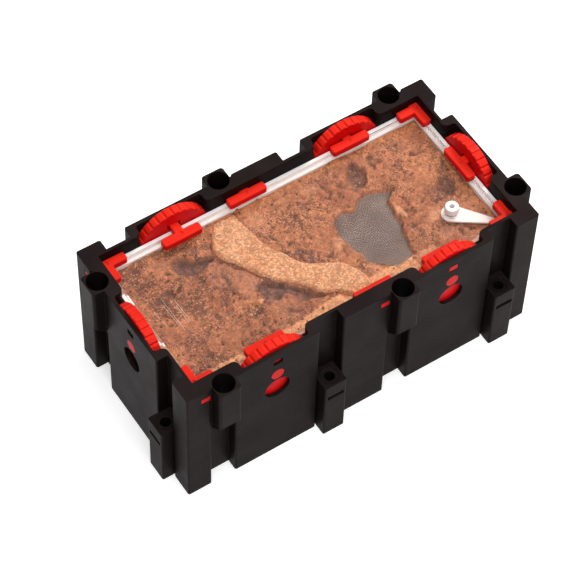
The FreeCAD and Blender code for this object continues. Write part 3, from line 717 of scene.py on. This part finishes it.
def soil_height(x, y):
    """Height of the soil, its painted shade and stains (painted shade in hollows and pits, pale, painted shade in
    crevices) and its finish (smooth, rusty, coarse).
    """
    warp_x = x + WARP_REACH * cloud("warp_x", x, y)
    warp_y = y + WARP_REACH * cloud("warp_y", x, y)
    smooth = pale = 0.0
    for *shape, paleness in SMOOTH:
        amount = blob(warp_x, warp_y, *shape)
        smooth = max(smooth, amount)
        pale = max(pale, paleness * amount)
    rough = smoothstep(-0.3, 0.3, cloud("rough", x, y)) * (1.0 - 0.9 * smooth)
    clods = cloud("clods", x, y)
    z = SOIL_LEVEL + SWELL_HEIGHT * cloud("swell", x, y) + HUMP_HEIGHT * (1.0 - 0.6 * smooth) * cloud("humps", x, y)
    z += (CLOD_HEIGHT + ROUGH_CLOD_HEIGHT * rough) * (1.0 - 0.5 * smooth) * clods
    # painted shade in the crevices between clods, where the ground is rough
    crevice_shade = rough * smoothstep(0.05, 0.6, -clods)
    coarse = 1.0 - 0.65 * smoothstep(-40.0, 45.0, x + 0.6 * y)
    for *shape, height in RISES:
        z += height * blob(warp_x, warp_y, *shape)
    sheet = smoothstep(0.7, -0.9, signed_distance(warp_x, warp_y, DAMP_SHEET))
    smooth = max(smooth, sheet)
    z += SHEET_HEIGHT * sheet
    # painted shade: hollows and pits are painted darker, as shade falls in them
    painted_shade = 0.0
    for depth, painted_darkness, outline in HOLLOWS:
        reach = signed_distance(0.5 * (x + warp_x), 0.5 * (y + warp_y), outline) + 0.5 * cloud("hollow_rim", x, y)
        if reach < 1.0:
            deeper = signed_distance(x - 1.2, y - 0.8, outline)
            amount = smoothstep(0.4, -0.8, reach) * (0.25 + 0.75 * smoothstep(1.0, -2.0, deeper))
            z -= depth * amount * (1.0 - 0.9 * sheet)
            blotch = 0.85 + 0.35 * cloud("stain_and_shade", x, y)
            painted_shade = max(painted_shade, min(1.0, blotch) * painted_darkness * amount * (1.0 - sheet))
    for *shape, depth, painted_darkness in PITS:
        amount = blob(warp_x, warp_y, *shape)
        z -= depth * amount
        painted_shade = max(painted_shade, painted_darkness * amount)
    # the soil is banked up against the walls
    wall = min(SOIL_HALF_X - abs(x), SOIL_HALF_Y - abs(y))
    z += BANK_HEIGHT * (1.0 - smoothstep(0.0, BANK_WIDTH, wall + 1.5 * cloud("bank", x, y)))
    rusty = 1.0 - smoothstep(1.6, 6.0, SOIL_HALF_Y - warp_y)
    rusty = max(rusty, 1.0 - smoothstep(1.6, 5.0, SOIL_HALF_X - warp_x))
    # a pale strip lies along the front wall as far as the path
    front = 4.2 + 4.6 * smoothstep(-36.0, 0.0, x)
    strip = 1.0 - smoothstep(front, front + 1.4, SOIL_HALF_Y + 0.5 * (y + warp_y))
    if x < STRIP_END:
        pale = max(pale, strip)
        smooth = max(smooth, 0.9 * strip)
    # round the uncovered mesh the soil ends in a ragged edge
    patch = signed_distance(0.3 * warp_x + 0.7 * x, 0.3 * warp_y + 0.7 * y, MESH_PATCH)
    patch += 0.9 * cloud("mesh_rim", x, y) + 0.7 * cloud("mesh_frays", x, y)
    z = z + (MESH_BED - z) * smoothstep(0.9, -0.4, patch)
    # under the sand path it is pressed flat, and it stands back along the path's near edge, where a painted shadow
    # runs along that edge
    path = signed_distance(x, y, PATH_OUTLINE)
    z = z + (PATH_BED - PATH_SINK - z) * smoothstep(0.2, -1.2, path)
    near = edge_distance(x, y, PATH_NEAR_EDGE, closed=False)
    if path > 0.0 and near < PATH_SETBACK_WIDTH and y < PATH_SETBACK_END:
        z -= PATH_SETBACK_DEPTH * (1.0 - smoothstep(0.0, PATH_SETBACK_WIDTH, near))
        painted_shade = max(painted_shade, 0.25 * (1.0 - smoothstep(0.0, 3.0, near)))
    pale *= 1.0 - painted_shade
    return min(z, SOIL_CEILING), (painted_shade, pale, crevice_shade * (1.0 - 0.8 * pale), 1.0), (smooth, rusty, coarse, 1.0)


def grid_slab(name, columns, rows, place, base):
    """Closed slab whose top follows place(column, row) and whose underside is flat at base."""
    mesh = bpy.data.meshes.new(name)
    top = [place(i, j) for j in range(rows) for i in range(columns)]
    verts = [(p[0] * MM, p[1] * MM, p[2] * MM) for p in top]
    faces = []
    for j in range(rows - 1):
        for i in range(columns - 1):
            a = j * columns + i
            faces.append((a, a + 1, a + 1 + columns, a + columns))
    ring = list(range(columns))
    ring += [j * columns + columns - 1 for j in range(1, rows)]
    ring += [(rows - 1) * columns + i for i in range(columns - 2, -1, -1)]
    ring += [j * columns for j in range(rows - 2, 0, -1)]
    first = len(verts)
    verts += [(verts[k][0], verts[k][1], base * MM) for k in ring]
    count = len(ring)
    for k in range(count):
        m = (k + 1) % count
        faces.append((ring[m], ring[k], first + k, first + m))
    faces.append(tuple(first + k for k in reversed(range(count))))
    mesh.from_pydata(verts, [], faces)
    mesh.update()
    return mesh


def paint_points(mesh, **layers):
    # a colour for every point of the mesh, in each named layer
    for name, colours in layers.items():
        data = mesh.color_attributes.new(name, "FLOAT_COLOR", "POINT").data
        for index, colour in enumerate(colours):
            data[index].color = colour


def make_soil():
    columns = int(2 * SOIL_HALF_X / SOIL_STEP) + 1
    rows = int(2 * SOIL_HALF_Y / SOIL_STEP) + 1
    stains_and_shade = []
    finishes = []

    def place(i, j):
        x = -SOIL_HALF_X + 2 * SOIL_HALF_X * i / (columns - 1)
        y = -SOIL_HALF_Y + 2 * SOIL_HALF_Y * j / (rows - 1)
        z, stain_and_shade, finish = soil_height(x, y)
        stains_and_shade.append(stain_and_shade)
        finishes.append(finish)
        return x, y, z

    mesh = grid_slab("soil_surface", columns, rows, place, SOIL_BASE)
    paint_points(mesh, Stain=stains_and_shade, Finish=finishes)
    for polygon in mesh.polygons:
        polygon.use_smooth = len(polygon.vertices) == 4 and polygon.normal.z > 0.05
    return new_object("soil_surface", mesh, "soil")


def make_soil_core():
    """The firm ground below the surface, with its tunnels, cut from the block's own mesh."""
    mesh = NODES["soil_block"].data.copy()
    bm = bmesh.new()
    bm.from_mesh(mesh)
    bmesh.ops.remove_doubles(bm, verts=bm.verts, dist=1e-6)
    plane = Vector((0, 0, SOIL_BASE * MM))
    everything = bm.verts[:] + bm.edges[:] + bm.faces[:]
    cut = bmesh.ops.bisect_plane(bm, geom=everything, dist=1e-7, plane_co=plane, plane_no=(0, 0, 1), clear_outer=True)
    edges = [e for e in cut["geom_cut"] if isinstance(e, bmesh.types.BMEdge)]
    bmesh.ops.triangle_fill(bm, use_beauty=True, use_dissolve=False, edges=edges)
    bmesh.ops.recalc_face_normals(bm, faces=bm.faces)
    bm.to_mesh(mesh)
    bm.free()
    count = len(mesh.vertices)
    # painted shade: the whole core is painted a quarter dark
    paint_points(mesh, Stain=[(0.25, 0.0, 0.0, 1.0)] * count, Finish=[(0.0, 0.0, 0.0, 1.0)] * count)
    return new_object("soil_core", mesh, "soil")


def along(points, t):
    # point at share t of a broken line's length
    lengths = [math.dist(points[i], points[i + 1]) for i in range(len(points) - 1)]
    goal = t * sum(lengths)
    for i, length in enumerate(lengths):
        if goal <= length or i == len(lengths) - 1:
            share = min(1.0, goal / length)
            a, b = points[i], points[i + 1]
            return a[0] + (b[0] - a[0]) * share, a[1] + (b[1] - a[1]) * share
        goal -= length


def soft_along(points, t):
    # the same with its corners softened: the average of a few points close by
    offsets = (-0.03, -0.015, 0.0, 0.015, 0.03)
    total = [0.0, 0.0]
    for offset in offsets:
        x, y = along(points, min(1.0, max(0.0, t + offset)))
        total[0] += x / len(offsets)
        total[1] += y / len(offsets)
    return total


def make_path():
    columns, rows = PATH_GRID

    def place(i, j):
        t = j / (rows - 1)
        s = i / (columns - 1)
        far = soft_along(PATH_FAR_EDGE, t)
        near = soft_along(PATH_NEAR_EDGE, t)
        x = near[0] + (far[0] - near[0]) * s
        y = near[1] + (far[1] - near[1]) * s
        ragged = 0.35 * cloud("path_rim", x, y)
        x += ragged * (1.0 - 2.0 * s)
        side = min(s, 1.0 - s) * math.dist(far, near)
        crown = smoothstep(-1.4, 1.8, side)
        z = PATH_BED + PATH_RIM + PATH_CROWN * crown
        z += 0.5 * crown * cloud("path_humps", x, y) + 0.12 * cloud("path_grit", x, y)
        x = max(-SOIL_HALF_X, min(SOIL_HALF_X, x))
        y = max(-SOIL_HALF_Y, min(SOIL_HALF_Y, y))
        return x, y, min(z, SOIL_CEILING)

    mesh = grid_slab("sand_ridge", columns, rows, place, PATH_BED - PATH_UNDERSIDE)
    for polygon in mesh.polygons:
        polygon.use_smooth = len(polygon.vertices) == 4
    bm = bmesh.new()
    bm.from_mesh(mesh)
    bmesh.ops.recalc_face_normals(bm, faces=bm.faces)
    bm.to_mesh(mesh)
    bm.free()
    return new_object("sand_ridge", mesh, "sand")


# ---- repeated things, by geometry nodes ----
class Geometry(Nodes):
    """A geometry tree with named inputs, ending in Realize Instances and Set Material."""

    def __init__(self, name, inputs):
        tree = bpy.data.node_groups.new(name, "GeometryNodeTree")
        tree.interface.new_socket(name="Geometry", in_out="INPUT", socket_type="NodeSocketGeometry")
        self.ids = {}
        for label, kind, value in inputs:
            socket = tree.interface.new_socket(name=label, in_out="INPUT", socket_type=kind)
            if value is not None:
                socket.default_value = value
            self.ids[label] = socket.identifier
        tree.interface.new_socket(name="Geometry", in_out="OUTPUT", socket_type="NodeSocketGeometry")
        super().__init__(tree)
        self.inlet = self.add("NodeGroupInput")
        self.outlet = self.add("NodeGroupOutput")

    def end(self, geometry):
        real = self.add("GeometryNodeRealizeInstances")
        self.join(geometry, real.inputs[0])
        paint = self.fill(self.add("GeometryNodeSetMaterial"), Geometry=real.outputs[0],
                          Material=self.inlet.outputs["Material"])
        self.join(paint.outputs[0], self.outlet.inputs[0])

    def run(self, name, source, **values):
        """Runs the tree on source and returns the result as a plain mesh object."""
        carrier = new_object(name + "_carrier", source)
        modifier = carrier.modifiers.new("nodes", "NODES")
        modifier.node_group = self.tree
        for label, value in values.items():
            modifier[self.ids[label.replace("_", " ")]] = value
        bpy.context.view_layer.update()
        graph = bpy.context.evaluated_depsgraph_get()
        mesh = bpy.data.meshes.new_from_object(carrier.evaluated_get(graph))
        mesh.name = name
        carrier.modifiers.remove(modifier)
        bpy.data.objects.remove(carrier)
        return new_object(name, mesh)


def crumb_tree():
    g = Geometry("Scatter Crumbs", [
        ("Density", FLOAT, 1000.0), ("Smallest", FLOAT, 0.0002), ("Largest", FLOAT, 0.0008),
        ("Seed", "NodeSocketInt", 1), ("Material", "NodeSocketMaterial", None)])
    inlet = g.inlet.outputs
    weight = g.fill(g.add("GeometryNodeInputNamedAttribute", data_type="FLOAT"), Name="crumbs")
    points = g.fill(g.add("GeometryNodeDistributePointsOnFaces", distribute_method="RANDOM"), Mesh=inlet["Geometry"],
                    Density=g.product(inlet["Density"], weight.outputs[0]), Seed=inlet["Seed"])
    # a crumb is a small ball pushed out of shape
    ball = g.fill(g.add("GeometryNodeMeshIcoSphere"), Radius=1.0, Subdivisions=1)
    shift = g.add("ShaderNodeVectorMath", operation="SUBTRACT")
    g.join(g.fill(g.add("ShaderNodeTexNoise"), Scale=1.7).outputs["Color"], shift.inputs[0])
    shift.inputs[1].default_value = (0.5, 0.5, 0.5)
    crumb = g.fill(g.add("GeometryNodeSetPosition"), Geometry=ball.outputs["Mesh"], Offset=shift.outputs[0])
    turn = g.add("FunctionNodeRandomValue", data_type="FLOAT_VECTOR")
    turn.inputs[1].default_value = (FULL_TURN, FULL_TURN, FULL_TURN)
    share = g.fill(g.add("FunctionNodeRandomValue", data_type="FLOAT"), Seed=inlet["Seed"])
    # most crumbs are small
    few_large = g.math("POWER", share.outputs[1], 2.5)
    spread = g.math("SUBTRACT", inlet["Largest"], inlet["Smallest"])
    on_points = g.fill(g.add("GeometryNodeInstanceOnPoints"), Points=points.outputs["Points"],
                       Instance=crumb.outputs[0], Rotation=turn.outputs[0],
                       Scale=g.math("ADD", inlet["Smallest"], g.product(spread, few_large)))
    g.end(on_points.outputs[0])
    return g


def weave_tree():
    g = Geometry("Woven Wires", [
        ("Length", FLOAT, 0.05), ("Spread", FLOAT, 0.05), ("Pitch", FLOAT, 0.001), ("Wire Radius", FLOAT, 0.0002),
        ("Phase", FLOAT, 0.0), ("Material", "NodeSocketMaterial", None)])
    inlet = g.inlet.outputs
    steps = g.math("ROUND", g.product(g.math("DIVIDE", inlet["Length"], inlet["Pitch"]), 2.0))
    wires = g.math("ROUND", g.math("DIVIDE", inlet["Spread"], inlet["Pitch"]))
    line = g.add("GeometryNodeCurvePrimitiveLine")
    for end, half in (("Start", -0.5), ("End", 0.5)):
        g.join(g.vector("X", g.product(inlet["Length"], half)), line.inputs[end])
    resample = g.fill(g.add("GeometryNodeResampleCurve"), Curve=line.outputs[0], Count=g.math("ADD", steps, 1.0))
    row = g.fill(g.add("GeometryNodeMeshLine", mode="OFFSET"), Count=g.math("ADD", wires, 1.0),
                 Start_Location=g.vector("Y", g.product(inlet["Spread"], -0.5)),
                 Offset=g.vector("Y", g.math("DIVIDE", inlet["Spread"], wires)))
    spread = g.fill(g.add("GeometryNodeInstanceOnPoints"), Points=row.outputs[0], Instance=resample.outputs[0])
    real = g.add("GeometryNodeRealizeInstances")
    g.join(spread.outputs[0], real.inputs[0])
    # each wire passes over and under its neighbours in turn
    axes = g.split(g.add("GeometryNodeInputPosition").outputs[0])
    steps_x = g.math("DIVIDE", axes["X"], inlet["Pitch"])
    steps_y = g.math("DIVIDE", axes["Y"], inlet["Pitch"])
    phase = g.product(g.math("ADD", g.math("ADD", steps_x, steps_y), inlet["Phase"]), math.pi)
    rise = g.product(g.math("COSINE", phase), g.product(inlet["Wire Radius"], 0.9))
    bent = g.fill(g.add("GeometryNodeSetPosition"), Geometry=real.outputs[0], Offset=g.vector("Z", rise))
    profile = g.fill(g.add("GeometryNodeCurvePrimitiveCircle"), Resolution=4, Radius=inlet["Wire Radius"])
    tube = g.fill(g.add("GeometryNodeCurveToMesh"), Curve=bent.outputs[0], Profile_Curve=profile.outputs[0],
                  Fill_Caps=True)
    g.end(tube.outputs[0])
    return g


def make_crumbs(soil):
    """Loose crumbs on the soil, thicker where it is coarse and in patches, thinner where it is pale, smooth or painted
    with shade.
    """
    source = soil.data.copy()
    weights = source.attributes.new("crumbs", "FLOAT", "POINT")
    stains_and_shade = soil.data.color_attributes["Stain"].data
    finishes = soil.data.color_attributes["Finish"].data
    # none lie on the mesh or on the sand path
    lowest = (MESH_BED + 0.9) * MM
    for vertex in source.vertices:
        x, y = vertex.co.x / MM, vertex.co.y / MM
        painted_shade, pale = stains_and_shade[vertex.index].color[:2]
        smooth, coarse = finishes[vertex.index].color[0], finishes[vertex.index].color[2]
        thick = smoothstep(-0.35, 0.55, cloud("crumbs", x, y))
        calm = max(pale, smooth, 0.75 * painted_shade)
        weight = (0.2 + 0.8 * coarse) * (0.1 + 1.2 * thick) * (1.0 - 0.85 * calm)
        bare = vertex.co.z <= lowest or signed_distance(x, y, PATH_OUTLINE) <= 0.3
        weights.data[vertex.index].value = 0.0 if bare else weight
    return crumb_tree().run("soil_crumbs", source, Density=CRUMB_DENSITY, Smallest=SMALLEST_CRUMB,
                            Largest=LARGEST_CRUMB, Seed=CRUMB_SEED, Material=MATERIALS["crumbs"])


def make_weave():
    """The steel mesh: two sets of crossing wires, in place of the plain sheet."""
    low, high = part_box("mesh_sheet")
    middle = (low + high) / 2
    length, spread = high.x - low.x, high.y - low.y
    tree = weave_tree()
    seed = bpy.data.meshes.new("empty")
    mesh = bpy.data.meshes.new("woven_mesh")
    bm = bmesh.new()
    sets = ((length, spread, 0.0, LONG_WIRE_SHARE), (spread, length, 90.0, CROSS_WIRE_SHARE))
    for index, (a, b, turn, share) in enumerate(sets):
        wires = tree.run("wires_%d" % index, seed, Length=a - 2 * WIRE_RADIUS, Spread=b - 2 * WIRE_RADIUS,
                         Pitch=WIRE_PITCH, Wire_Radius=WIRE_RADIUS * share, Phase=float(index),
                         Material=MATERIALS["steel"])
        wires.data.transform(Matrix.Rotation(math.radians(turn), 4, "Z"))
        bm.from_mesh(wires.data)
        bpy.data.objects.remove(wires)
    bmesh.ops.translate(bm, verts=bm.verts, vec=middle)
    bm.to_mesh(mesh)
    bm.free()
    return new_object("woven_mesh", mesh, "steel")


def make_scratches():
    """Raised, pale rims of a few long scratches on the lid's top face."""
    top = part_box("lid_panel")[1].z
    bm = bmesh.new()
    for x0, y0, x1, y1 in SCRATCHES:
        bar = bmesh.ops.create_cube(bm, size=1.0)["verts"]
        length = math.hypot(x1 - x0, y1 - y0) * MM
        turn = Matrix.Rotation(math.atan2(y1 - y0, x1 - x0), 4, "Z")
        middle = Matrix.Translation(((x0 + x1) / 2 * MM, (y0 + y1) / 2 * MM, top + SCRATCH_RISE))
        size = Matrix.Diagonal((length, SCRATCH_WIDTH, SCRATCH_HEIGHT, 1.0))
        bmesh.ops.transform(bm, matrix=middle @ turn @ size, verts=bar)
    mesh = bpy.data.meshes.new("lid_scratches")
    bm.to_mesh(mesh)
    bm.free()
    return new_object("lid_scratches", mesh, "channel")


# ---- assembly ----
# the finish of every node that isn't plain red like the dials and clips
FINISHES = {
    "outer_frame": "black", "inner_box": "box", "water_tube": "white", "water_channel": "channel", "lid_panel": "lid",
    "mesh_sheet": "steel", "soil_block": "soil", "sand_path": "sand", "dial_left": "open_dial",
}


def dress_nodes():
    for name, node in NODES.items():
        set_material(node, FINISHES.get(name, "red"))


def make_ground():
    soil = make_soil()
    core = make_soil_core()
    crumbs = make_crumbs(soil)
    path = make_path()
    weave = make_weave()
    scratches = make_scratches()
    for piece in (soil, core, crumbs, path, weave, scratches):
        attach(piece, BODY)
    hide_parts("soil_block")
    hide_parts("sand_path")
    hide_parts("mesh_sheet")


# ---- stage, light and camera ----
def make_stage():
    mesh = bpy.data.meshes.new("floor")
    corners = [(x * FLOOR_HALF, y * FLOOR_HALF, 0) for x, y in ((-1, -1), (1, -1), (1, 1), (-1, 1))]
    mesh.from_pydata(corners, [], [(0, 1, 2, 3)])
    floor = new_object("floor", mesh)
    m = Material("pale floor")
    tone = m.n.span(m.n.noise(m.n.place(), 8.0, 2.0), 0.3, 0.7)
    m.set(Base_Color=m.n.mix(tone, (0.86, 0.86, 0.86, 1), (0.9, 0.9, 0.9, 1)), Roughness=0.9)
    strength = m.n.product(m.n.seen_by("Camera", "Glossy", "Transmission"), FLOOR_GLOW)
    glow = m.n.fill(m.n.add("ShaderNodeEmission"), Color=(1, 1, 1, 1), Strength=strength)
    add = m.n.add("ShaderNodeAddShader")
    m.n.join(m.shader.outputs[0], add.inputs[0])
    m.n.join(glow.outputs[0], add.inputs[1])
    m.n.join(add.outputs[0], m.out.inputs["Surface"])
    mesh.materials.append(m.material)


def make_world():
    world = bpy.data.worlds.new("studio")
    bpy.context.scene.world = world
    world.use_nodes = True
    n = Nodes(world.node_tree)
    strength = n.span(n.seen_by("Camera", "Transmission"), 0.0, 1.0, WORLD_LIGHT, 1.0)
    n.fill(world.node_tree.nodes["Background"], Color=(1, 1, 1, 1), Strength=strength)


def make_lights():
    for name, place, size, power, colour in LIGHTS:
        data = bpy.data.lights.new(name, "AREA")
        data.shape = "SQUARE"
        data.size = size
        data.energy = power
        data.color = colour
        lamp = link(bpy.data.objects.new(name, data))
        lamp.location = place
        lamp.rotation_mode = "QUATERNION"
        lamp.rotation_quaternion = (Vector(AIM) - Vector(place)).to_track_quat("-Z", "Y")


def make_camera():
    azimuth = math.radians(CAMERA_AZIMUTH)
    elevation = math.radians(CAMERA_ELEVATION)
    roll = math.radians(CAMERA_ROLL)
    flat = math.cos(elevation)
    back = Vector((math.sin(azimuth) * flat, -math.cos(azimuth) * flat, math.sin(elevation)))
    level = Vector((math.cos(azimuth), math.sin(azimuth), 0.0))
    upright = back.cross(level)
    right = level * math.cos(roll) + upright * math.sin(roll)
    up = upright * math.cos(roll) - level * math.sin(roll)
    place = Vector(CAMERA_TARGET) + back * CAMERA_DISTANCE + right * CAMERA_SLIDE[0] + up * CAMERA_SLIDE[1]
    data = bpy.data.cameras.new("camera")
    data.sensor_width = SENSOR
    data.lens = FOCAL_PIXELS * SENSOR / IMAGE_SIZE
    data.shift_x = (IMAGE_SIZE / 2 - CENTRE_PIXEL[0]) / IMAGE_SIZE
    data.shift_y = (CENTRE_PIXEL[1] - IMAGE_SIZE / 2) / IMAGE_SIZE
    camera = link(bpy.data.objects.new("camera", data))
    camera.matrix_world = Matrix.Translation(place * MM) @ Matrix((right, up, back)).transposed().to_4x4()
    bpy.context.scene.camera = camera


dress_nodes()
make_ground()
make_stage()
make_world()
make_lights()
make_camera()
bpy.context.scene.view_settings.view_transform = "Standard"
